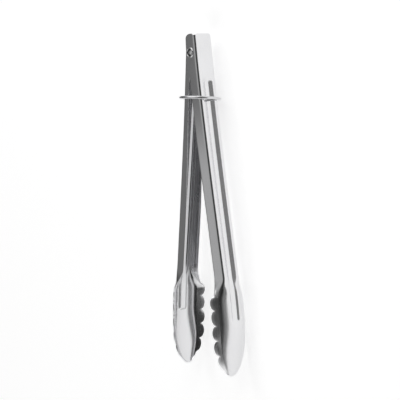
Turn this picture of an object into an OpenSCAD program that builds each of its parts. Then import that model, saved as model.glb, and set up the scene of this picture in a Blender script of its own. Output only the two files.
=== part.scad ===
// Spring-loaded kitchen tongs, lying on one side with the arms open.
// The origin is the pivot's centre. X runs across the opening, the outer arm on +X.
// Y runs along the tongs, the head on +Y and the scoops on -Y. Z is the pivot's axis.
// Each arm is one stamped sheet: channel, ears and scalloped scoop. Lengths are in mm.

/* [Overall] */
// Length from the pivot to the tip of a scoop
tip_reach = 287.5; // [280:0.5:295]
// Length of the head above the pivot
head_reach = 16.2; // [15:0.1:18]
// Thickness of the sheet steel
sheet = 0.9; // [0.7:0.1:1]
// How far each arm swings shut, in degrees
swing = 6.1; // [5.5:0.1:6.2]

/* [Arm channel] */
// Distance from the tongs' middle to the outside of a web, at the pivot
web_offset = 8.5; // [8.3:0.1:9]
// Slope of a web beside the pivot
head_slope = 0.097; // [0.09:0.001:0.11]
// Slope of a web far below the pivot
arm_slope = 0.15; // [0.145:0.001:0.155]
// Length over which the arm bends from one slope to the other
bend_length = 70; // [50:5:90]
// Half width of the outer arm's web at the head
half_web = 9.8; // [9.6:0.1:10.2]
// Gap between the nested flanges of the two arms
nest_gap = 0.3; // [0.2:0.05:0.4]
// Outside radius of the fold between a web and its flanges
fold_radius = 2.3; // [1.6:0.1:2.5]
// Depth of a flange at the pivot, without its ear
flange_depth = 10.1; // [9.5:0.1:10.5]
// Outward lean of the flanges near the scoop
flange_draft = 0.097; // [0.05:0.001:0.11]
// How far the ears reach past the pivot's axis
ear_reach = 5.2; // [4.8:0.1:5.6]
// Height of the ears' rounded top corners
ear_drop = 4; // [3:0.1:5]
// Width of the ears' rounded top corners
ear_slope = 6; // [3:0.1:7]
// How much lower the inner arm's head ends than the outer arm's
inner_drop = 3; // [0:0.1:4]
// How much deeper the outer arm's flanges are below the head
outer_extra = 1.6; // [0:0.1:2]
// How much shallower the inner arm's flanges are below the head
inner_cut = 3.6; // [0:0.1:4]

/* [Stiffening groove] */
// Depth of the groove pressed into a web
groove_depth = 2; // [1.2:0.1:2.2]
// Half width of the groove at the web's face
groove_half = 6.1; // [5:0.1:6.4]
// Half width of the groove's flat bottom
groove_floor = 1.5; // [1:0.1:2]
// Where the groove starts, below the pivot
groove_start = 19; // [18:1:40]
// Where the groove ends, in the scoop
groove_end = 238; // [225:1:245]

/* [Scoop] */
// Where the channel starts to widen into the scoop
neck = 202; // [198:1:206]
// Half width of the scoop's bowl
bowl_half = 16.5; // [15:0.1:18]
// Depth of the bowl from its back to the notches in the rim
bowl_depth = 9; // [8:0.1:10]
// How far the bowl's back falls to its walls
shoulder = 8.2; // [6:0.1:8.4]
// Half of the gap left between the closed tips
tip_gap = 0.3; // [0.25:0.05:1]
// Rim height above the closing plane at the first notch, with the tongs closed
rim_gap = 5.3; // [4.5:0.1:6]
// Height of the scallops
lobe_height = 2.5; // [2:0.1:2.8]
// How far the scallops flare outwards
lobe_flare = 2; // [1:0.1:2.2]

/* [Pivot and spring] */
// Radius of the hole through the hollow rivet
rivet_bore = 3.15; // [3:0.05:3.2]
// Wall of the rivet's tube
rivet_wall = 0.6; // [0.5:0.05:0.65]
// Radius of the rivet's flared lips
lip_radius = 4.6; // [4.4:0.1:4.8]
// Thickness of a lip
lip_thickness = 0.6; // [0.4:0.05:0.8]
// Running clearance of the rivet in the ears
rivet_play = 0.05; // [0.02:0.01:0.1]
// Diameter of the spring wire
spring_wire = 1.8; // [1.4:0.1:1.8]
// Turns of the spring's coil
spring_turns = 5; // [3:1:5]

/* [Lock ring] */
// Diameter of the ring's wire
ring_wire = 2.6; // [2.2:0.1:2.8]
// Radius of the ring at the middle of its wire
ring_radius = 17.8; // [17.8:0.1:18.5]
// Where the ring hangs, below the pivot
ring_place = 40; // [38:1:45]
// Tilt of the ring, its upper side towards the head
ring_tilt = 5; // [0:1:6]

/* [Hidden] */

taper = 0.003;            // the web's half width lost per mm below the ears
flange_growth = 0.0071;   // the flange's depth gained per mm below the pivot
ear_top = 4;              // the ears keep their full reach down to here
ear_bottom = 26;          // below this the ears have run out into the flanges
head_end = 50;            // the flanges of the two arms differ in depth down to here
alike_from = 150;         // and are alike from here
relief = 1.1;             // depth of the relief cut between the web and each ear
relief_run = 7;           // length over which the relief cut fades out
parallel_end = 30;        // the flanges are parallel down to here
draft_end = 120;          // the flanges have their full draft from here
bowl_start = neck + 20;   // the bowl has its full width from here
tip_start = 240;          // the bowl starts to close towards its tip
tip_power = 2.2;          // fullness of the tip's outline
gap_power = 2.3;          // how late the rim dips to the tip
rim_band = 0.5;           // least height of the rim's band
arc_part = 0.94;          // how far out its half ellipse the bowl's back runs, 1 for upright walls
flat_part = 0.5;          // the part of the bowl's half width before its shoulder
shoulder_part = 0.92;     // most of the bowl's depth that the shoulder takes
splay = 0.3;              // how far the bowl's wall spreads towards the rim
toe_start = 235;          // from here the bowl gets shallower and its rim spreads
toe_end = 272;
toe_rise = 0.34;          // the part of the bowl's depth lost at the toe
toe_spread = 0.2;         // how far the rim spreads past the bowl at the toe
toe_flare = 0.7;          // how much more the scallops flare at the toe
lobe_dome = 0.45;         // how far each scallop is domed outwards
lobe_power = 0.6;         // roundness of the scallops
notches = [213, 225.3, 238.8, 252.3, 266.6, 279.6];
lobe_scale = [1, 1, 1, 0.9, 0.75];
rivet_radius = rivet_bore + rivet_wall;
ear_bore = rivet_radius + rivet_play;
lip_seat = half_web + 0.06;

// ---- Small helpers ----
function mix(a, b, t) = a + (b - a) * t;
function clamp(t) = max(0, min(1, t));
function ease(a, b, d) = let(t = clamp((d - a) / (b - a))) t * t * (3 - 2 * t);
function closing_rise(d) = d * tan(swing);

// ---- Lines along the arm, at distance d below the pivot ----
function channel_back(d) = web_offset + arm_slope * d
    - (arm_slope - head_slope) * bend_length * (1 - exp(-d / bend_length));

// 1 until the tip starts to close, then 0 at the very tip
function closure(d, reach) = let(t = clamp((d - tip_start) / (reach - tip_start)))
    sqrt(max(0, 1 - pow(t, tip_power)));

// The line through the notches of the scoop's rim
function notch_line(d) = let(t = clamp((d - notches[0]) / (tip_reach - notches[0])))
    closing_rise(d) + mix(rim_gap, tip_gap, pow(t, gap_power));

// The free edge of the channel's flanges, with the ears at the head, which ends at top
function flange_extra(d, inset) =
    (inset == 0 ? outer_extra : -inner_cut) * (1 - ease(head_end, alike_from, d));
function flange_edge(d, inset, top) =
    let(plain = channel_back(d) - flange_depth - flange_growth * d - flange_extra(d, inset))
    let(ear = mix(-ear_reach, plain, ease(ear_top, ear_bottom, d)))
    let(rise = clamp((ear_drop - top - d) / ear_drop))
    ear + ear_slope * (1 - sqrt(1 - rise * rise));

function scoop_blend(d) = ease(neck - 5, neck + 11, d);
function toe(d) = ease(toe_start, toe_end, d);
function rim_line(d, inset, top) = mix(flange_edge(d, inset, top), notch_line(d), scoop_blend(d));
function back_line(d, reach) = mix(channel_back(d),
    notch_line(d) + bowl_depth * closure(d, reach) * (1 - toe_rise * toe(d)),
    ease(neck - 2, bowl_start, d));

function channel_half(d, inset) = half_web - inset - taper * max(0, d - ear_bottom);
function widest(d, inset, reach) = mix(channel_half(d, inset), bowl_half,
    ease(neck - 6, bowl_start - 4, d)) * closure(d, reach);

// ---- Stiffening groove ----
function groove_fade(d) = ease(groove_start, groove_start + 8, d)
    * (1 - ease(groove_end - 5, groove_end, d));
function groove_width(d) = mix(1, 0.6, ease(neck - 12, neck + 14, d));
function groove_at(d, z) = let(s = groove_width(d))
    groove_depth * s * groove_fade(d)
    * clamp((groove_half * s - abs(z)) / ((groove_half - groove_floor) * s));

// ---- Scallops ----
function lobe_index(d) = max([for (k = [0:len(notches) - 2]) if (d >= notches[k]) k]);
function lobe_round(d) = d <= notches[0] || d >= notches[len(notches) - 1] ? 0
    : let(k = lobe_index(d), v = (2 * d - notches[k] - notches[k + 1]) / (notches[k + 1] - notches[k]))
      lobe_scale[k] * pow(max(0, 1 - v * v), lobe_power);

// ---- One half of the arm's section: [x, z] from the middle of the web to the rim ----
// skin is 0 for the outside of the sheet and its thickness for the inside. inset narrows the
// arm that nests in the other, and top is how far its head reaches above the pivot.
function arc_drop(u) = 1 - sqrt(1 - pow(arc_part * clamp(u), 2));
function shoulder_drop(u) = arc_drop(u) / arc_drop(1);

function half_section(d, skin, inset, top) =
    let(reach = tip_reach - skin)
    let(e = closure(d, reach), m = scoop_blend(d), spread = toe_spread * toe(d) * e)
    let(back = back_line(d, reach) - skin * e)
    let(wide = widest(d, inset, reach) - spread - skin * e)
    let(edge = rim_line(d, inset, top), fold = fold_radius - skin * e)
    let(foot = edge + rim_band * e)
    let(fall = min(shoulder, shoulder_part * (back + skin * e - foot)) - skin * e)
    let(flat = mix(wide - fold, flat_part * wide, m))
    let(s = groove_width(d) * min(1, wide / groove_half))
    let(lean = -flange_draft * ease(parallel_end, draft_end, d) * (back - fold - edge))
    let(in = mix(lean, -splay * e, ease(neck, bowl_start, d)) - spread)
    let(lobe = lobe_round(d), band = rim_band * e + lobe_height * lobe)
    let(flare = lobe_flare * (1 + toe_flare * toe(d)) * lobe)
    let(first = asin(arc_part * flat_part), last = asin(arc_part))
    [for (z = [0, groove_floor * s, groove_half * s, flat])
        [back - groove_at(d, z) - m * fall * shoulder_drop(min(z, flat) / max(wide, 0.01)), min(z, flat)],
     for (a = [30, 60, 90])
        let(arc_z = wide * sin(mix(first, last, a / 90)) / arc_part)
        let(z = mix(wide - fold * (1 - sin(a)), arc_z, m))
        [back - (1 - m) * fold * (1 - cos(a)) - m * fall * shoulder_drop(z / max(wide, 0.01)), z],
     for (t = [0.5, 1])
        [mix(back - mix(fold, fall, m), foot, t), wide - in * t],
     for (t = [0.5, 1])
        [foot - band * t, wide - in + flare * t + lobe_dome * lobe * sin(180 * t)]];

// Distance below the pivot of a section's points: the relief cut lowers the fold's end
function cut_depth(d, j, top) = j < 3 || j > 6 ? 0 : relief * (1 - ease(-top, relief_run - top, d));

function arm_section(d, skin, inset, top) =
    let(half = half_section(d, skin, inset, top), n = len(half))
    let(y = skin == 0 || d < tip_start ? -d
        : -mix(tip_start, tip_reach - skin, (d - tip_start) / (tip_reach - skin - tip_start)))
    [for (j = [n - 1:-1:1]) [half[j][0], y - cut_depth(d, j, top), -half[j][1]],
     for (j = [0:n - 1]) [half[j][0], y - cut_depth(d, j, top), half[j][1]]];

// ---- Stations along the arm ----
function inside_lobe(a, b) = [for (v = [-0.85, -0.45, 0, 0.45, 0.85]) mix(a, b, (v + 1) / 2)];
function head_stations(top) = [for (a = [90, 65, 40, 20, 0]) ear_drop * (1 - sin(a)) - top];
stations = concat(
    [-6, 0, 4, 9, 13, 17, 22, 28, 34, 50, 70, 95, 120, 145, 170, 190],
    [200, 203, 206, 209],
    [for (k = [0:len(notches) - 2]) for (d = concat([notches[k]], inside_lobe(notches[k], notches[k + 1]))) d],
    [notches[len(notches) - 1]]);
tip_steps = [0.45, 0.72, 0.88, 0.965, 0.993];

function all_stations(top, reach) = concat(head_stations(top), stations,
    [for (t = tip_steps) mix(stations[len(stations) - 1], reach, t)]);

module arm_sheet(inset, top) {
    outside = [for (d = all_stations(top, tip_reach)) arm_section(d, 0, inset, top)];
    inside = [for (d = all_stations(top, tip_reach - sheet)) arm_section(d, sheet, inset, top)];
    count = len(outside);
    k = len(outside[0]);
    loop = 2 * k;
    points = [for (i = [0:count - 1]) for (j = [0:loop - 1])
        j < k ? outside[i][j] : inside[i][loop - 1 - j]];
    sides = [for (i = [0:count - 2]) for (j = [0:loop - 1])
        let(a = i * loop + j, b = i * loop + (j + 1) % loop)
        for (f = [[a, b, b + loop], [a, b + loop, a + loop]]) f];
    head_cap = [for (j = [0:k - 2]) for (f = [[j, loop - 1 - j, loop - 2 - j], [j, loop - 2 - j, j + 1]]) f];
    last = (count - 1) * loop;
    tip_cap = [for (f = head_cap) [last + f[0], last + f[2], last + f[1]]];
    polyhedron(points, concat(sides, head_cap, tip_cap), convexity = 8);
}

module arm(inset, top) {
    color("silver")
    difference() {
        arm_sheet(inset, top);
        cylinder(h = 4 * half_web, r = ear_bore, center = true, $fn = 64);
    }
}

module outer_arm() {
    arm(0, head_reach);
}

module inner_arm() {
    mirror([1, 0, 0]) arm(sheet + nest_gap, head_reach - inner_drop);
}

// The rivet: a tube with a rounded lip turned over each end
module pivot_rivet() {
    round_over = lip_thickness / 2;
    half_length = lip_seat + lip_thickness;
    color("gainsboro")
    rotate_extrude($fn = 96)
    difference() {
        union() {
            translate([0, -half_length]) square([rivet_radius, 2 * half_length]);
            for (side = [-1, 1])
                translate([0, side * (lip_seat + round_over)]) {
                    translate([0, -round_over]) square([lip_radius - round_over, lip_thickness]);
                    translate([lip_radius - round_over, 0]) circle(r = round_over, $fn = 32);
                }
        }
        translate([0, -half_length - 1]) square([rivet_bore, 2 * half_length + 2]);
    }
}

// ---- Torsion spring: a coil around the rivet, with a leg along each web ----
spring_radius = rivet_radius + 0.35 + spring_wire / 2;
spring_pitch = spring_wire + 0.3;
spring_half = spring_turns * spring_pitch / 2;
leg_length = 21;
coil_steps = 18;
wire_sides = 8;

// One leg's far end rests just inside the web
leg_end_x = channel_back(leg_length) - sheet - spring_wire / 2 - 0.25;
spring_path = let(turn = 360 * spring_turns + 180)
    concat(
        [for (t = [1, 0.5]) [mix(spring_radius, leg_end_x, t), -leg_length * t, -spring_half]],
        [for (i = [0:coil_steps * turn / 360]) let(a = i * 360 / coil_steps)
            [spring_radius * cos(a), spring_radius * sin(a), mix(-spring_half, spring_half, a / turn)]],
        [for (t = [0.5, 1]) [-mix(spring_radius, leg_end_x, t), -leg_length * t, spring_half]]);

function unit(v) = v / norm(v);
function path_direction(p, i) = unit(p[min(i + 1, len(p) - 1)] - p[max(i - 1, 0)]);

module torsion_spring() {
    n = len(spring_path);
    rings = [for (i = [0:n - 1])
        let(t = path_direction(spring_path, i), u = unit(cross(t, [0, 0, 1])), v = cross(t, u))
        for (s = [0:wire_sides - 1]) let(a = s * 360 / wire_sides)
            spring_path[i] + spring_wire / 2 * (cos(a) * u + sin(a) * v)];
    sides = [for (i = [0:n - 2]) for (s = [0:wire_sides - 1])
        let(a = i * wire_sides + s, b = i * wire_sides + (s + 1) % wire_sides)
        for (f = [[a, a + wire_sides, b + wire_sides], [a, b + wire_sides, b]]) f];
    first_cap = [for (s = [0:wire_sides - 1]) s];
    last_cap = [for (s = [wire_sides - 1:-1:0]) (n - 1) * wire_sides + s];
    color("dimgray") polyhedron(rings, concat(sides, [first_cap, last_cap]), convexity = 8);
}

module lock_ring() {
    color("lightgray")
    translate([0, -ring_place, 0])
    rotate([90 - ring_tilt, 0, 0])
    rotate_extrude($fn = 96)
    translate([ring_radius, 0]) circle(r = ring_wire / 2, $fn = 32);
}

outer_arm();
inner_arm();
pivot_rivet();
torsion_spring();
lock_ring();
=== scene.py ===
"""Spring-loaded kitchen tongs: the looks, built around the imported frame.

The frame is in metres: X across the opening, Y along the tongs with the head on +Y, Z up along
the pivot's axis. Shapes are worked out in millimetres and scaled once, in new_mesh().
"""
import math

import bpy
import numpy as np
from mathutils import Matrix, Vector


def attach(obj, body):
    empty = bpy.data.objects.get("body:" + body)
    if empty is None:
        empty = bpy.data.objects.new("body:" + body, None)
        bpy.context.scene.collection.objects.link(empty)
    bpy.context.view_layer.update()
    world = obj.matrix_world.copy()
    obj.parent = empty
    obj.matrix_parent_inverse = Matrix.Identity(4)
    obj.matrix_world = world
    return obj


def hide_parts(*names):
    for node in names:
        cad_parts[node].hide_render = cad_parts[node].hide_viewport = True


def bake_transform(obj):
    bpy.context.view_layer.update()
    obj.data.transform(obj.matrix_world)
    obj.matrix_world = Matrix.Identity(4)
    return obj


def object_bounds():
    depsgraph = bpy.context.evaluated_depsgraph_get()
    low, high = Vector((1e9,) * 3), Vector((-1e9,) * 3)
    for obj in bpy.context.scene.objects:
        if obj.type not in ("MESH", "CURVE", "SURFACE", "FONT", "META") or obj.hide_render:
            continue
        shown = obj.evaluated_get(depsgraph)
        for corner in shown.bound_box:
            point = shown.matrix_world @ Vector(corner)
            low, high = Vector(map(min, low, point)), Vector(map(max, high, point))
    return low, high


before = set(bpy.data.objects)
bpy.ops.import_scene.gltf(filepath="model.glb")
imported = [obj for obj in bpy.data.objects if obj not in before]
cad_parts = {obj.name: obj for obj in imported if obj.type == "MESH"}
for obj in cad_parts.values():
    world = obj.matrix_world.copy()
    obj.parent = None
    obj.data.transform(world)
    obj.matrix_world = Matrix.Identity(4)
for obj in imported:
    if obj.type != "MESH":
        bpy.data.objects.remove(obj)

MM = 0.001
CRISP_ANGLE = 50
CAD_BOX = [[float(v) for v in corner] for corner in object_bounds()]

# ---- Driving sizes of the arms, in millimetres: the CAD's, apart from the ones marked ----
TIP_REACH = 287.5
HEAD_REACH = 16.2
INNER_DROP = 3.0
SHEET = 0.9
SWING = 6.1
WEB_OFFSET = 8.5
HEAD_SLOPE, ARM_SLOPE, BEND_LENGTH = 0.097, 0.15, 70.0
HALF_WEB, NEST_GAP, TAPER = 9.8, 0.3, 0.003
FOLD_RADIUS = 2.3
EAR_BORE, BORE_MARGIN = 3.8, 0.7
FLANGE_DEPTH, FLANGE_GROWTH, FLANGE_DRAFT = 10.1, 0.0071, 0.097
DRAFT_START, DRAFT_END = 30.0, 120.0
EAR_REACH, EAR_DROP, EAR_SLOPE, EAR_TOP, EAR_BOTTOM = 5.2, 4.0, 6.0, 4.0, 26.0
OUTER_EXTRA, INNER_CUT, HEAD_END, ALIKE_FROM = 1.6, 3.6, 50.0, 150.0
RELIEF, RELIEF_RUN, RELIEF_SIDE = 1.1, 7.0, 1.2
NECK, BOWL_START, TIP_START = 202.0, 222.0, 240.0
BLEND_START, BLEND_END = NECK - 5, NECK + 11
WIDER_FROM, WIDEST_AT, BACK_FROM = NECK - 6, BOWL_START - 4, NECK - 2
GROOVE_DEPTH, GROOVE_HALF, GROOVE_FLOOR = 2.0, 6.1, 1.5
GROOVE_START, GROOVE_END, GROOVE_RISE = 19.0, 238.0, 8.0
GROOVE_FALL = 3.0  # 5 in the CAD
SCOOP_GROOVE = 0.8  # the groove's size in the scoop against the arm's, 0.6 in the CAD
STEEPER = 0.68  # the width of its flanks there against the arm's, 1 in the CAD
NARROW_FROM, NARROW_TO = NECK - 12, NECK + 14
BOWL_HALF, BOWL_DEPTH, SPLAY = 16.5, 9.0, 0.3
SHOULDER, SHOULDER_PART, ARC_PART, FLAT_PART = 8.2, 0.92, 0.94, 0.5
TOE_START, TOE_END, TOE_RISE, TOE_SPREAD, TOE_FLARE = 235.0, 272.0, 0.34, 0.2, 0.7
TIP_GAP, RIM_GAP, TIP_POWER, GAP_POWER = 0.3, 5.3, 2.2, 2.3
RIM_BAND, LOBE_HEIGHT, LOBE_FLARE, LOBE_DOME, LOBE_POWER = 0.5, 2.5, 2.0, 0.45, 0.6
NOTCHES = [213.0, 225.3, 238.8, 252.3, 266.6, 279.6]
LOBE_SCALE = [1.0, 1.0, 1.0, 0.9, 0.6]  # the last one is 0.75 in the CAD
CREASE_REACH, CREASE_ROUNDS = 4, 40  # the CAD's crease is sharp
EDGE_BULGE, EDGE_STEPS = 0.22, 4  # the CAD's edges are flat
MEETING_START, MEETING_END, MEETING_BULGE = 255.0, 268.0, 0.15
TINY, NO_AREA = 1e-6, 1e-12

# ---- How finely an arm is divided: between these distances, and across its section ----
EARS_END, GROOVE_FORMED, ARM_END = 22.0, 36.0, 196.0
EAR_ROWS, HEAD_ROWS, START_ROWS, ARM_ROWS, NECK_ROWS = 11, 26, 25, 34, 16
LOBE_ROWS, TIP_ROWS = 17, 16
MIDDLE_SHARE, MIDDLE_POINTS, FLANK_REACH, FLANK_POINTS = 0.12, 3, 1.03, 14
BESIDE_POINTS, FOLD_POINTS, WALL_POINTS, RIM_POINTS = 6, 13, 9, 8


# ---------------------------------------------------------------- curves along an arm
# d is the distance below the pivot, and the lines are X against d.
def mix(a, b, t):
    return a + (b - a) * t


def ease(a, b, d):
    """0 up to a, 1 from b on, with a smooth run between."""
    t = np.clip((d - a) / (b - a), 0, 1)
    return t * t * (3 - 2 * t)


def channel_back(d):
    """The face of the channel's web: steeper away from the head."""
    bend = (ARM_SLOPE - HEAD_SLOPE) * BEND_LENGTH * (1 - np.exp(-d / BEND_LENGTH))
    return WEB_OFFSET + ARM_SLOPE * d - bend


def closure(d):
    """How open the bowl still is: 1 down to the start of the tip, 0 at its end."""
    t = np.clip((d - TIP_START) / (TIP_REACH - TIP_START), 0, 1)
    return np.sqrt(np.maximum(0, 1 - t ** TIP_POWER))


def notch_line(d):
    """The foot of the scallops, a small gap off the other arm's when closed."""
    t = np.clip((d - NOTCHES[0]) / (TIP_REACH - NOTCHES[0]), 0, 1)
    return d * math.tan(math.radians(SWING)) + mix(RIM_GAP, TIP_GAP, t ** GAP_POWER)


def flange_edge(d, inset, top):
    """The flange's free edge, deeper at the ears, whose top corner is rounded."""
    extra = (OUTER_EXTRA if inset == 0 else -INNER_CUT) * (1 - ease(HEAD_END, ALIKE_FROM, d))
    plain = channel_back(d) - FLANGE_DEPTH - FLANGE_GROWTH * d - extra
    ear = mix(-EAR_REACH, plain, ease(EAR_TOP, EAR_BOTTOM, d))
    rise = np.clip((EAR_DROP - top - d) / EAR_DROP, 0, 1)
    return ear + EAR_SLOPE * (1 - np.sqrt(1 - rise ** 2))


def scoop_blend(d):
    """0 in the channel, 1 in the bowl."""
    return ease(BLEND_START, BLEND_END, d)


def rim_line(d, inset, top):
    """The edge of the channel, then of the bowl between its scallops."""
    return mix(flange_edge(d, inset, top), notch_line(d), scoop_blend(d))


def bowl_depth(d):
    return BOWL_DEPTH * closure(d) * (1 - TOE_RISE * ease(TOE_START, TOE_END, d))


def back_line(d):
    """The face of the web, then of the bowl's back."""
    return mix(channel_back(d), notch_line(d) + bowl_depth(d), ease(BACK_FROM, BOWL_START, d))


def widest(d, inset):
    """Half the width of the channel, then of the bowl."""
    channel = HALF_WEB - inset - TAPER * np.maximum(0, d - EAR_BOTTOM)
    return mix(channel, BOWL_HALF, ease(WIDER_FROM, WIDEST_AT, d)) * closure(d)


def lobe_round(d):
    """How far the rim stands out at d: 0 at each notch, 1 at the middle of a full scallop."""
    out = np.zeros_like(d)
    for k, scale in enumerate(LOBE_SCALE):
        low, high = NOTCHES[k], NOTCHES[k + 1]
        v = (2 * d - low - high) / (high - low)
        out += np.where(abs(v) < 1, scale * np.clip(1 - v * v, 0, 1) ** LOBE_POWER, 0)
    return out


def soft_ramp(t, r=0.14):
    """0 below 0, 1 above 1, straight between, with both corners rounded over r."""
    def corner(u):
        return np.where(u < -r, 0, np.where(u > r, u, (u + r) ** 2 / (4 * r)))
    return corner(t) - corner(t - 1)


# ---------------------------------------------------------------- the arm's sheet
def shoulder_drop(u):
    """Fall of the bowl's back at u, the distance from its middle as a part of its half width."""
    def arc(v):
        return 1 - np.sqrt(1 - (ARC_PART * v) ** 2)
    return arc(np.clip(u, 0, 1)) / arc(1.0)


def half_section(d, inset, top):
    """Points [x, z, cut] of half a section at each d, from the middle of the web to the rim."""
    d = d[:, None]
    e, m = closure(d), scoop_blend(d)
    toe = ease(TOE_START, TOE_END, d)
    spread = TOE_SPREAD * toe * e
    back, edge, wide = back_line(d), rim_line(d, inset, top), widest(d, inset) - spread
    foot = edge + RIM_BAND * e
    shoulder = np.minimum(SHOULDER, SHOULDER_PART * (back - foot))
    flat = mix(wide - FOLD_RADIUS, FLAT_PART * wide, m)
    lean = -FLANGE_DRAFT * ease(DRAFT_START, DRAFT_END, d) * (back - FOLD_RADIUS - edge)
    pull = mix(lean, -SPLAY * e, ease(NECK, BOWL_START, d)) - spread
    lobe = lobe_round(d)
    band = RIM_BAND * e + LOBE_HEIGHT * lobe

    # the web or the bowl's back, with its groove: points across the groove, then beside it
    s = mix(1, SCOOP_GROOVE, ease(NARROW_FROM, NARROW_TO, d))
    fade = ease(GROOVE_START, GROOVE_START + GROOVE_RISE, d)
    fade = fade * (1 - ease(GROOVE_END - GROOVE_FALL, GROOVE_END, d))
    steps = np.concatenate([np.linspace(0, MIDDLE_SHARE, MIDDLE_POINTS)[:-1],
                            np.linspace(MIDDLE_SHARE, FLANK_REACH, FLANK_POINTS)[:-1]])
    z_groove = steps[None] * np.minimum(GROOVE_HALF * s, 0.97 * flat)
    beside_groove = np.minimum(GROOVE_HALF * s * 1.1, mix(z_groove[:, -1:], flat, 0.15))
    beside = mix(beside_groove, flat, np.linspace(0, 1, BESIDE_POINTS)[None])
    z_web = np.concatenate([z_groove, beside], 1)
    flank = (GROOVE_HALF - GROOVE_FLOOR) * s * mix(1, STEEPER, m)
    pressed = GROOVE_DEPTH * s * fade * soft_ramp((GROOVE_HALF * s - z_web) / flank)
    fallen = m * shoulder * shoulder_drop(z_web / np.maximum(wide, TINY))
    web_x = back - pressed - fallen

    # the channel's fold, or the bowl's shoulder
    a = np.radians(np.linspace(0, 90, FOLD_POINTS)[1:])[None]
    b = mix(math.asin(ARC_PART * FLAT_PART), math.asin(ARC_PART), a / (math.pi / 2))
    fold_z = mix(wide - FOLD_RADIUS * (1 - np.sin(a)), wide * np.sin(b) / ARC_PART, m)
    drop = shoulder_drop(fold_z / np.maximum(wide, TINY))
    fold_x = back - (1 - m) * FOLD_RADIUS * (1 - np.cos(a)) - m * shoulder * drop

    # the flange or the bowl's wall, then the rim's band with its scallops
    t = np.linspace(0, 1, WALL_POINTS)[1:][None]
    wall_x = mix(fold_x[:, -1:], foot, t)
    wall_z = wide - pull * t
    t = np.linspace(0, 1, RIM_POINTS)[1:][None]
    rim_x = foot - band * t
    flare = LOBE_FLARE * (1 + TOE_FLARE * toe) * lobe
    rim_z = wide - pull + flare * t + LOBE_DOME * lobe * np.sin(math.pi * t)

    x = np.concatenate([web_x, fold_x, wall_x, rim_x], 1)
    z = np.concatenate([z_web, fold_z, wall_z, rim_z], 1)

    # the pressing rounds the scoop off where its wall meets the scallops
    start = web_x.shape[1] + fold_x.shape[1] - CREASE_REACH
    for _ in range(CREASE_ROUNDS):
        for line in (x, z):
            between = (line[:, start - 1:-2] + line[:, start + 1:]) / 2
            line[:, start:-1] += m * (between - line[:, start:-1]) / 2

    # the relief cut lowers the head's edge around the fold
    away = np.maximum(0, flat - z) + np.maximum(0, back - FOLD_RADIUS - x)
    cut = RELIEF * (1 - ease(-top, RELIEF_RUN - top, d)) * (1 - ease(0, RELIEF_SIDE, away))
    return x, z, cut


def arm_stations(top):
    """Distances below the pivot at which the arm's section is worked out."""
    corner = EAR_DROP * (1 - np.sin(np.radians(np.linspace(90, 0, EAR_ROWS)))) - top
    head = np.linspace(EAR_DROP - top, EARS_END, HEAD_ROWS)[1:]
    start = np.linspace(EARS_END, GROOVE_FORMED, START_ROWS)[1:]
    arm = np.linspace(GROOVE_FORMED, ARM_END, ARM_ROWS)[1:]
    neck = np.linspace(ARM_END, NOTCHES[0], NECK_ROWS)[1:-1]
    v = np.sin(np.radians(np.linspace(-90, 90, LOBE_ROWS)))[:-1]
    bowl = [mix(low, high, (v + 1) / 2) for low, high in zip(NOTCHES[:-1], NOTCHES[1:])]
    e = np.linspace(closure(np.array([NOTCHES[-1]]))[0], 0, TIP_ROWS)[:-1]
    tip = TIP_START + (TIP_REACH - TIP_START) * (1 - e * e) ** (1 / TIP_POWER)
    return np.concatenate([corner, head, start, arm, neck, *bowl, tip])


def vertex_normals(points, faces):
    """Area-weighted normals, for faces as lists of indices."""
    normals = np.zeros_like(points)
    for size in (3, 4):
        group = np.array([f for f in faces if len(f) == size], int)
        a = points[group[:, 2]] - points[group[:, 0]]
        b = points[group[:, -1]] - points[group[:, 1]]
        for k in range(size):
            np.add.at(normals, group[:, k], np.cross(a, b))
    return normals / np.maximum(np.linalg.norm(normals, axis=1, keepdims=True), NO_AREA)


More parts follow.
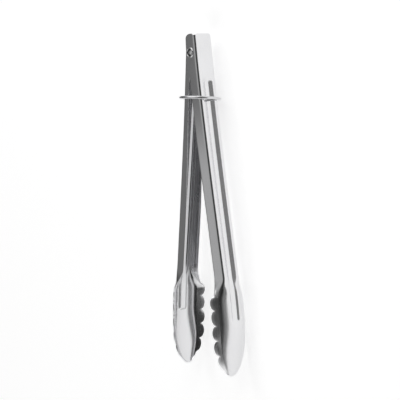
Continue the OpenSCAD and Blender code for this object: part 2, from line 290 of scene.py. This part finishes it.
def arm_mesh(inset, top, side):
    """The sheet as one closed skin: outside, inside and a rounded edge all the way round.

    Returns its points, its faces and which of the faces are the inside's.
    """
    d = arm_stations(top)
    x, z, cut = half_section(d, inset, top)
    n, half = x.shape
    k = 2 * half - 1
    outer = np.zeros((n, k, 3))
    outer[:, half - 1:] = np.stack([x, -(d[:, None] + cut), z], 2)
    outer[:, :half - 1] = outer[:, :half - 1:-1] * [1, 1, -1]
    tip = np.array([[notch_line(np.array([TIP_REACH]))[0], -TIP_REACH, 0]])
    points = np.concatenate([outer.reshape(-1, 3), tip])
    pole = n * k
    grid = np.arange(n * k).reshape(n, k)
    quads = np.stack([grid[:-1, :-1], grid[:-1, 1:], grid[1:, 1:], grid[1:, :-1]], 2)
    tip_faces = [(grid[-1, j], grid[-1, j + 1], pole) for j in range(k - 1)]
    normals = vertex_normals(points, [tuple(q) for q in quads.reshape(-1, 4)] + tip_faces)

    # the pivot's hole takes the place of a block of the grid in each flange
    first = np.searchsorted(d, -BORE_MARGIN - EAR_BORE) - 1
    last = np.searchsorted(d, BORE_MARGIN + EAR_BORE)
    wall = (half - 1) + np.flatnonzero(abs(x[first, :]) < EAR_BORE + 2 * BORE_MARGIN)
    kept = np.ones(quads.shape[:2], bool)
    collars, holes = [], []
    for low, high in ((wall[0], wall[-1]), (k - 1 - wall[-1], k - 1 - wall[0])):
        kept[first:last, low:high] = False
        loop = [*grid[first, low:high], *grid[first:last, high],
                *grid[last, high:low:-1], *grid[last:first:-1, low]]
        reach = np.linalg.norm(points[loop][:, :2], axis=1, keepdims=True)
        circle = points[loop].copy()
        circle[:, :2] *= EAR_BORE / reach
        hole = list(range(len(points), len(points) + len(loop)))
        points = np.concatenate([points, circle])
        normals = np.concatenate([normals, normals[loop]])
        collars += [(loop[i - 1], loop[i], hole[i], hole[i - 1]) for i in range(len(loop))]
        holes.append(hole)
    outside = [tuple(q) for q in quads[kept]] + tip_faces + collars
    if normals[grid[n // 2, half - 1], 0] < 0:
        normals = -normals
        outside = [f[::-1] for f in outside]
        holes = [hole[::-1] for hole in holes]
    count = len(points)
    bores = [(hole[i - 1], hole[i], hole[i] + count, hole[i - 1] + count)
             for hole in holes for i in range(len(hole))]
    inner = points - SHEET * normals
    inside = [tuple(i + count for i in f[::-1]) for f in outside]

    # the edge: once round the sheet, from the head down the near rim and up the far one
    border = list(grid[:, 0]) + [pole] + list(grid[::-1, -1]) + list(grid[0, -2:0:-1])
    edge_points, rings = [], []
    loop = points[border]
    along = np.roll(loop, -1, 0) - np.roll(loop, 1, 0)
    along /= np.linalg.norm(along, axis=1, keepdims=True)
    away = np.cross(along, normals[border])
    away /= np.linalg.norm(away, axis=1, keepdims=True)
    centre = loop - SHEET / 2 * normals[border]
    inward = points[grid[n // 2, half - 1]] - points[grid[n // 2, 0]]
    if np.dot(away[n // 2], inward) > 0:
        away = -away
    # the edge is rounded less where the two scoops meet
    bulge = EDGE_BULGE * mix(1, MEETING_BULGE, ease(MEETING_START, MEETING_END, -loop[:, 1:2]))
    for s in range(1, EDGE_STEPS):
        a = math.pi * s / EDGE_STEPS
        ring = centre + SHEET / 2 * math.cos(a) * normals[border] + bulge * math.sin(a) * away
        rings.append([2 * count + len(edge_points) * len(border) + i for i in range(len(border))])
        edge_points.append(ring)
    rings = [list(border)] + rings + [[b + count for b in border]]
    rim = []
    for low, high in zip(rings[:-1], rings[1:]):
        for i in range(len(border)):
            j = (i + 1) % len(border)
            rim.append((low[i], low[j], high[j], high[i]))
    everything = np.concatenate([points, inner] + edge_points)
    # turn the rim's faces outwards
    a, b, c, e = rim[n // 2]
    face_normal = np.cross(everything[c] - everything[a], everything[e] - everything[b])
    if np.dot(face_normal, away[n // 2]) < 0:
        rim = [f[::-1] for f in rim]
    faces = outside + inside + rim + bores
    if side < 0:
        everything = everything * [-1, 1, 1]
        faces = [f[::-1] for f in faces]
    return everything, faces, range(len(outside), len(outside) + len(inside))


def new_mesh(name, points, faces, material):
    """A smooth mesh object from points in millimetres."""
    data = bpy.data.meshes.new(name)
    corners = [[int(i) for i in face] for face in faces]
    data.from_pydata([tuple(p * MM for p in v) for v in points], [], corners)
    data.validate()
    data.update()
    obj = bpy.data.objects.new(name, data)
    bpy.context.scene.collection.objects.link(obj)
    data.polygons.foreach_set("use_smooth", [True] * len(data.polygons))
    obj.data.materials.append(material)
    return obj


def sharpen(obj):
    """Keeps sharp edges crisp under smooth shading."""
    obj.data.set_sharp_from_angle(angle=math.radians(CRISP_ANGLE))


# ---------------------------------------------------------------- rounds and wires
WIRE_DOME = 0.35


def lathe(profile, segments):
    """Turns a closed [r, z] outline about the Z axis."""
    profile = np.array(profile)
    a = np.linspace(0, 2 * math.pi, segments, endpoint=False)
    ring = np.stack([np.cos(a), np.sin(a)], 1)
    rows = [np.concatenate([ring * r, np.full((segments, 1), z)], 1) for r, z in profile]
    points = np.concatenate(rows)
    n = len(profile)
    faces = []
    for i in range(n):
        j = (i + 1) % n
        for s in range(segments):
            t = (s + 1) % segments
            faces.append((i * segments + s, i * segments + t, j * segments + t, j * segments + s))
    return points, faces


def wire(path, radius, sides):
    """A round wire along a path, with domed ends."""
    n = len(path)
    along = np.gradient(path, axis=0)
    along /= np.linalg.norm(along, axis=1, keepdims=True)
    u = np.cross(along[0], [0, 0, 1.0])
    points, faces = [], []
    a = np.linspace(0, 2 * math.pi, sides, endpoint=False)[:, None]
    for i in range(n):
        u = u - along[i] * np.dot(u, along[i])
        u /= np.linalg.norm(u)
        v = np.cross(along[i], u)
        points.append(path[i] + radius * (np.cos(a) * u + np.sin(a) * v))
    for i in range(n - 1):
        for s in range(sides):
            t, j = (s + 1) % sides, i + 1
            faces.append((i * sides + s, i * sides + t, j * sides + t, j * sides + s))
    points = np.concatenate(points)
    for end, step in ((0, -1), (n - 1, 1)):
        last = np.arange(end * sides, (end + 1) * sides)
        middle, outwards = path[end], step * along[end] * radius * WIRE_DOME
        for cap_angle in (35, 65):
            turn = math.radians(cap_angle)
            ring = middle + (points[last] - middle) * math.cos(turn) + outwards * math.sin(turn)
            new = np.arange(len(points), len(points) + sides)
            points = np.concatenate([points, ring])
            for s in range(sides):
                t = (s + 1) % sides
                quad = (last[s], last[t], new[t], new[s])
                faces.append(quad if step > 0 else quad[::-1])
            last = new
        points = np.concatenate([points, [middle + outwards]])
        for s in range(sides):
            t = (s + 1) % sides
            tri = (last[s], last[t], len(points) - 1)
            faces.append(tri if step > 0 else tri[::-1])
    return points, faces


# ---------------------------------------------------------------- materials
RANGE_SOCKETS = ("From Min", "From Max", "To Min", "To Max")
SMUDGE_DARK, SMUDGE_PALE, WORN_PALE = 0.97, 1.02, 1.15
ROUGH_SPREAD = 0.06
FINE_SCALE, FINE_DETAIL, SMUDGE_SCALE, SMUDGE_DETAIL = 3.0, 4.0, 38.0, 3.0
EDGE_POINTINESS, NOISE_SUM = (0.53, 0.6), (0.6, 1.4)
GRAIN_HEIGHT = 0.00002
# where the painted shade inside the arms fades into the scoops' tone, and where the scoops' satin finish
# fades in, in metres along Y
PAINTED_SHADE_FADE_AT, SATIN_AT = (-0.185, -0.222), (-0.2, -0.228)


def steel(name, colour, rough, grain=(700, 9, 700), grain_depth=0.25, satin=0.0, unshaded_scoop_colour=None):
    """Stainless steel: grain drawn out along one axis, faint smudges and worn, brighter edges.

    satin is how much rougher the scoops are than the arms above them; where a scoop colour is
    given, colour is painted shade on the arms, which fades into that lighter tone in the scoops.
    """
    material = bpy.data.materials.new(name)
    material.use_nodes = True
    tree = material.node_tree
    nodes, links = tree.nodes, tree.links
    shader = nodes["Principled BSDF"]
    shader.inputs["Metallic"].default_value = 1.0

    def node(kind, **values):
        made = nodes.new(kind)
        for key, value in values.items():
            setattr(made, key, value)
        return made

    def map_range(start, end, low, high, **values):
        made = node("ShaderNodeMapRange", **values)
        for key, value in zip(RANGE_SOCKETS, (start, end, low, high)):
            made.inputs[key].default_value = value
        return made

    place = node("ShaderNodeTexCoord")
    stretch = node("ShaderNodeMapping")
    stretch.inputs["Scale"].default_value = grain
    links.new(place.outputs["Object"], stretch.inputs["Vector"])
    fine = node("ShaderNodeTexNoise")
    fine.inputs["Scale"].default_value = FINE_SCALE
    fine.inputs["Detail"].default_value = FINE_DETAIL
    links.new(stretch.outputs["Vector"], fine.inputs["Vector"])
    smudge = node("ShaderNodeTexNoise")
    smudge.inputs["Scale"].default_value = SMUDGE_SCALE
    smudge.inputs["Detail"].default_value = SMUDGE_DETAIL
    links.new(place.outputs["Object"], smudge.inputs["Vector"])
    wear = node("ShaderNodeNewGeometry")

    # colour: the base tone, a little uneven, brighter along worn edges
    tone = node("ShaderNodeValToRGB")
    low, high = tone.color_ramp.elements
    low.position, high.position = 0.3, 0.75
    low.color = [c * SMUDGE_DARK for c in colour] + [1]
    high.color = [min(1, c * SMUDGE_PALE) for c in colour] + [1]
    links.new(smudge.outputs["Fac"], tone.inputs["Fac"])
    edges = map_range(*EDGE_POINTINESS, 0.0, 1.0)
    links.new(wear.outputs["Pointiness"], edges.inputs["Value"])
    worn = node("ShaderNodeMix", data_type="RGBA")
    worn.inputs["B"].default_value = [min(1, c * WORN_PALE) for c in colour] + [1]
    links.new(edges.outputs["Result"], worn.inputs["Factor"])
    links.new(tone.outputs["Color"], worn.inputs["A"])
    along = node("ShaderNodeSeparateXYZ")
    links.new(place.outputs["Object"], along.inputs["Vector"])
    # painted shade: where a scoop colour is given, the darker colour up the arm stands in for shade and
    # fades into it along Y
    if unshaded_scoop_colour:
        reach = map_range(*PAINTED_SHADE_FADE_AT, 0.0, 1.0, interpolation_type="SMOOTHSTEP")
        links.new(along.outputs["Y"], reach.inputs["Value"])
        towards = node("ShaderNodeMix", data_type="RGBA")
        towards.inputs["B"].default_value = [*unshaded_scoop_colour, 1]
        links.new(reach.outputs["Result"], towards.inputs["Factor"])
        links.new(worn.outputs["Result"], towards.inputs["A"])
        links.new(towards.outputs["Result"], shader.inputs["Base Color"])
    else:
        links.new(worn.outputs["Result"], shader.inputs["Base Color"])

    # roughness: grain and smudges together
    both = node("ShaderNodeMath", operation="ADD")
    links.new(fine.outputs["Fac"], both.inputs[0])
    links.new(smudge.outputs["Fac"], both.inputs[1])
    roughness = map_range(*NOISE_SUM, rough - ROUGH_SPREAD / 2, rough + ROUGH_SPREAD / 2)
    links.new(both.outputs["Value"], roughness.inputs["Value"])
    scoop = map_range(*SATIN_AT, 0.0, satin, interpolation_type="SMOOTHSTEP")
    links.new(along.outputs["Y"], scoop.inputs["Value"])
    total = node("ShaderNodeMath", operation="ADD")
    links.new(roughness.outputs["Result"], total.inputs[0])
    links.new(scoop.outputs["Result"], total.inputs[1])
    links.new(total.outputs["Value"], shader.inputs["Roughness"])

    bump = node("ShaderNodeBump")
    bump.inputs["Strength"].default_value = grain_depth
    bump.inputs["Distance"].default_value = GRAIN_HEIGHT
    links.new(fine.outputs["Fac"], bump.inputs["Height"])
    links.new(bump.outputs["Normal"], shader.inputs["Normal"])
    return material


def lit_paper(name, colour, rough, glow):
    """Matt paper over a light table: it glows a little, so shadows on it stay faint."""
    material = bpy.data.materials.new(name)
    material.use_nodes = True
    shader = material.node_tree.nodes["Principled BSDF"]
    shader.inputs["Base Color"].default_value = (*colour, 1)
    shader.inputs["Roughness"].default_value = rough
    shader.inputs["Specular IOR Level"].default_value = 0.2
    shader.inputs["Emission Color"].default_value = (1, 1, 1, 1)
    shader.inputs["Emission Strength"].default_value = glow
    return material


arm_steel = steel("brushed_sheet_steel", (0.78, 0.78, 0.79), 0.13, satin=0.1)
# painted shade: the arms' inside faces are coloured darker for the shade inside the channels and between
# the arms, going back to a lighter tone in the scoops
inside_steel_painted_shade = steel("inside_sheet_steel_painted_shade", (0.6, 0.6, 0.61), 0.13, satin=0.03,
                     unshaded_scoop_colour=(0.76, 0.76, 0.77))
rivet_steel = steel("rivet_steel", (0.86, 0.86, 0.86), 0.12, grain=(300, 300, 300), grain_depth=0.1)
spring_steel = steel("spring_wire_steel", (0.5, 0.5, 0.52), 0.34, grain=(200, 200, 200))
ring_steel = steel("ring_wire_steel", (0.66, 0.66, 0.67), 0.2, grain=(220, 220, 220), grain_depth=0.1)

# ---------------------------------------------------------------- pieces
for node_name, body, inset, top, side in (
        ("outer_arm", "outer", 0.0, HEAD_REACH, 1),
        ("inner_arm", "inner", SHEET + NEST_GAP, HEAD_REACH - INNER_DROP, -1)):
    points, faces, inside = arm_mesh(inset, top, side)
    arm = new_mesh(node_name + "_stamping", points, faces, arm_steel)
    # the inside faces take the steel with the painted shade
    arm.data.materials.append(inside_steel_painted_shade)
    for i in inside:
        arm.data.polygons[i].material_index = 1
    sharpen(arm)
    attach(arm, body)
    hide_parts(node_name)

# The hollow rivet: a tube with a lip rolled over each end
RIVET_BORE, RIVET_WALL, RIVET_SEGMENTS = 3.15, 0.6, 160
RIVET_RADIUS = RIVET_BORE + RIVET_WALL
LIP_RADIUS, LIP_THICKNESS, LIP_FLARE, LIP_CORNER = 4.6, 0.6, 0.35, 0.1
LIP_SEAT = HALF_WEB + 0.06


def rivet_outline():
    """[r, z] from the bore over the upper lip, down the shank and round the lower lip."""
    top, bead = LIP_SEAT + LIP_THICKNESS, LIP_THICKNESS / 2
    upper = []
    for a in range(0, 91, 15):
        turn = math.radians(a)
        r = RIVET_BORE + LIP_FLARE * (1 - math.cos(turn))
        upper.append([r, top - LIP_FLARE * (1 - math.sin(turn))])
    for a in range(90, -91, -15):
        turn = math.radians(a)
        r = LIP_RADIUS - bead * (1 - math.cos(turn))
        upper.append([r, LIP_SEAT + bead + bead * math.sin(turn)])
    upper.append([RIVET_RADIUS + LIP_CORNER, LIP_SEAT])
    upper.append([RIVET_RADIUS, LIP_SEAT - LIP_CORNER])
    return upper + [[r, -z] for r, z in reversed(upper)]


points, faces = lathe(rivet_outline(), RIVET_SEGMENTS)
rivet = new_mesh("hollow_rivet", points, faces, rivet_steel)
sharpen(rivet)
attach(rivet, "pivot")
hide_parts("pivot_rivet")

# The torsion spring: the coil round the rivet, in two halves, each with its leg along its own arm
SPRING_WIRE, SPRING_TURNS, LEG_LENGTH, WIRE_SIDES = 1.8, 5, 21.0, 24
COIL_PLAY, TURN_GAP, LEG_GAP = 0.35, 0.3, 0.25
SPRING_RADIUS = RIVET_RADIUS + COIL_PLAY + SPRING_WIRE / 2
SPRING_HALF = SPRING_TURNS * (SPRING_WIRE + TURN_GAP) / 2
LEG_END = float(channel_back(np.array(LEG_LENGTH))) - SHEET - SPRING_WIRE / 2 - LEG_GAP


def spring_half(side):
    """Half of the coil, from its middle turn to the end of its leg, on side's web."""
    turn = 2 * math.pi * SPRING_TURNS + math.pi
    path = []
    for a in np.linspace(turn / 2, 0, 140):
        height = -SPRING_HALF * (1 - 2 * a / turn)
        path.append([SPRING_RADIUS * math.cos(a), SPRING_RADIUS * math.sin(a), height])
    for t in np.linspace(0, 1, 24)[1:]:
        path.append([mix(SPRING_RADIUS, LEG_END, t), -LEG_LENGTH * t, -SPRING_HALF])
    path = np.array(path)
    return path if side > 0 else path * [-1, 1, -1]


for side, body in ((1, "outer"), (-1, "inner")):
    points, faces = wire(spring_half(side), SPRING_WIRE / 2, WIRE_SIDES)
    half = new_mesh("spring_half_" + body, points, faces, spring_steel)
    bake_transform(half)
    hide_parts("torsion_spring")

# The lock ring: round wire, its ends butt-welded and dressed nearly flush
RING_WIRE, RING_RADIUS, RING_PLACE, RING_TILT = 2.6, 17.8, 40.0, 5.0
RING_STEPS, RING_SIDES = 288, 32
WELD_AT, WELD_WIDTH, WELD_HEIGHT = 205.0, 2.2, 0.05


def ring_mesh():
    """The ring's wire, with the weld's slight bead at one place round it."""
    tilt = Matrix.Rotation(math.radians(90 - RING_TILT), 3, "X")
    points, faces = [], []
    for i in range(RING_STEPS):
        a = 2 * math.pi * i / RING_STEPS
        off = (math.degrees(a) - WELD_AT) / WELD_WIDTH
        r = RING_WIRE / 2 + WELD_HEIGHT * math.exp(-off * off)
        j = (i + 1) % RING_STEPS
        for k in range(RING_SIDES):
            b, m = 2 * math.pi * k / RING_SIDES, (k + 1) % RING_SIDES
            reach = RING_RADIUS + r * math.cos(b)
            points.append(tilt @ Vector((reach * math.cos(a), reach * math.sin(a), r * math.sin(b))))
            faces.append([row * RING_SIDES + side for row, side in ((i, k), (j, k), (j, m), (i, m))])
    return np.array(points) + [0, -RING_PLACE, 0], faces


points, faces = ring_mesh()
ring = new_mesh("lock_ring_wire", points, faces, ring_steel)
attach(ring, "ring")
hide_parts("lock_ring")

# ---------------------------------------------------------------- camera, floor and light
# The camera looks from the side of the outer arm and from above, turned so that the head is up.
CAMERA_AT = Vector((0.6666, -0.0268, 0.5440))
LOOK_AT = Vector((-0.0055, -0.1314, 0.0))
CAMERA_ROLL = -2.148
SENSOR_WIDTH, LENS = 36, 86.9
camera_data = bpy.data.cameras.new("camera")
camera_data.sensor_width = SENSOR_WIDTH
camera_data.lens = LENS
camera = bpy.data.objects.new("camera", camera_data)
bpy.context.scene.collection.objects.link(camera)
forward = (LOOK_AT - CAMERA_AT).normalized()
right = forward.cross(Vector((0, 1, 0))).normalized()
up = right.cross(forward)
roll = math.radians(CAMERA_ROLL)
right, up = (right * math.cos(roll) + up * math.sin(roll), up * math.cos(roll) - right * math.sin(roll))
turn = Matrix((right, up, -forward)).transposed().to_4x4()
camera.matrix_world = Matrix.Translation(CAMERA_AT) @ turn
bpy.context.scene.camera = camera

MIDDLE = (0, -0.13, 0)
FLOOR_SIZE, FLOOR_Z = 6, CAD_BOX[0][2]
bpy.ops.mesh.primitive_plane_add(size=FLOOR_SIZE, location=(MIDDLE[0], MIDDLE[1], FLOOR_Z))
floor = bpy.context.object
floor.name = "floor"
floor.data.materials.append(lit_paper("floor_paper", (0.9, 0.9, 0.9), rough=0.9, glow=0.52))


def area_light(name, place, size, power):
    """A soft rectangular light that points at the middle of the tongs."""
    data = bpy.data.lights.new(name, "AREA")
    data.shape = "RECTANGLE"
    data.size, data.size_y = size
    data.energy = power
    light = bpy.data.objects.new(name, data)
    bpy.context.scene.collection.objects.link(light)
    light.location = place
    light.rotation_euler = (Vector(MIDDLE) - Vector(place)).to_track_quat("-Z", "Y").to_euler()


area_light("head_end_softbox", place=(0.1, 1.35, 1.15), size=(2.2, 1.6), power=15)
area_light("scoop_end_softbox", place=(0.1, -1.75, 1.15), size=(2.2, 2.0), power=9)

# the room's brightness by height, from straight down at 0 to straight up at 1
ROOM_GLOW = ((0.0, 0.05), (0.25, 0.08), (0.45, 0.19), (0.62, 0.15), (0.77, 0.46), (0.9, 0.42), (1.0, 0.4))
BACKDROP = (0.95, 0.95, 0.95, 1)
# each as where it starts and ends along its axis, then its values there
SIDE_SHADE, LOW_GLOW = (-0.15, 0.4, 1.0, 0.11), (0.25, 0.5, 0.22, 0.0)
LOW_SIDE, END_GLOW = (0.2, 0.6, 0.0, 1.0), (0.55, 0.85, 0.0, 0.3)


def studio_world():
    """Soft room light: mid grey on -X, dark on +X, paler overhead, and near white to look at."""
    world = bpy.data.worlds.new("studio")
    bpy.context.scene.world = world
    world.use_nodes = True
    nodes, links = world.node_tree.nodes, world.node_tree.links
    direction = nodes.new("ShaderNodeTexCoord")
    split = nodes.new("ShaderNodeSeparateXYZ")
    links.new(direction.outputs["Generated"], split.inputs["Vector"])

    def ramp(source, start, end, low, high):
        made = nodes.new("ShaderNodeMapRange")
        made.interpolation_type = "SMOOTHSTEP"
        for key, value in zip(RANGE_SOCKETS, (start, end, low, high)):
            made.inputs[key].default_value = value
        links.new(source, made.inputs["Value"])
        return made.outputs["Result"]

    def combine(kind, a, b):
        made = nodes.new("ShaderNodeMath")
        made.operation = kind
        links.new(a, made.inputs[0])
        links.new(b, made.inputs[1])
        return made.outputs["Value"]

    rise = nodes.new("ShaderNodeValToRGB")
    links.new(split.outputs["Z"], rise.inputs["Fac"])
    stops = rise.color_ramp.elements
    for height, glow in ROOM_GLOW:
        stop = stops[0] if height == 0 else stops[-1] if height == 1 else stops.new(height)
        stop.color = (glow, glow, glow, 1)
    sides = ramp(split.outputs["X"], *SIDE_SHADE)
    room = combine("MULTIPLY", rise.outputs["Color"], sides)
    low_glow = ramp(split.outputs["Z"], *LOW_GLOW)
    low_side = ramp(split.outputs["X"], *LOW_SIDE)
    room = combine("ADD", room, combine("MULTIPLY", low_glow, low_side))
    length = nodes.new("ShaderNodeMath")
    length.operation = "ABSOLUTE"
    links.new(split.outputs["Y"], length.inputs[0])
    room = combine("ADD", room, ramp(length.outputs["Value"], *END_GLOW))
    soft = nodes["Background"]
    links.new(room, soft.inputs["Strength"])
    soft.inputs["Color"].default_value = (1, 1, 1, 1)
    seen = nodes.new("ShaderNodeBackground")
    seen.inputs["Color"].default_value = BACKDROP
    path = nodes.new("ShaderNodeLightPath")
    pick = nodes.new("ShaderNodeMixShader")
    links.new(path.outputs["Is Camera Ray"], pick.inputs["Fac"])
    links.new(soft.outputs["Background"], pick.inputs[1])
    links.new(seen.outputs["Background"], pick.inputs[2])
    links.new(pick.outputs["Shader"], nodes["World Output"].inputs["Surface"])


studio_world()
bpy.context.scene.view_settings.view_transform = "Standard"
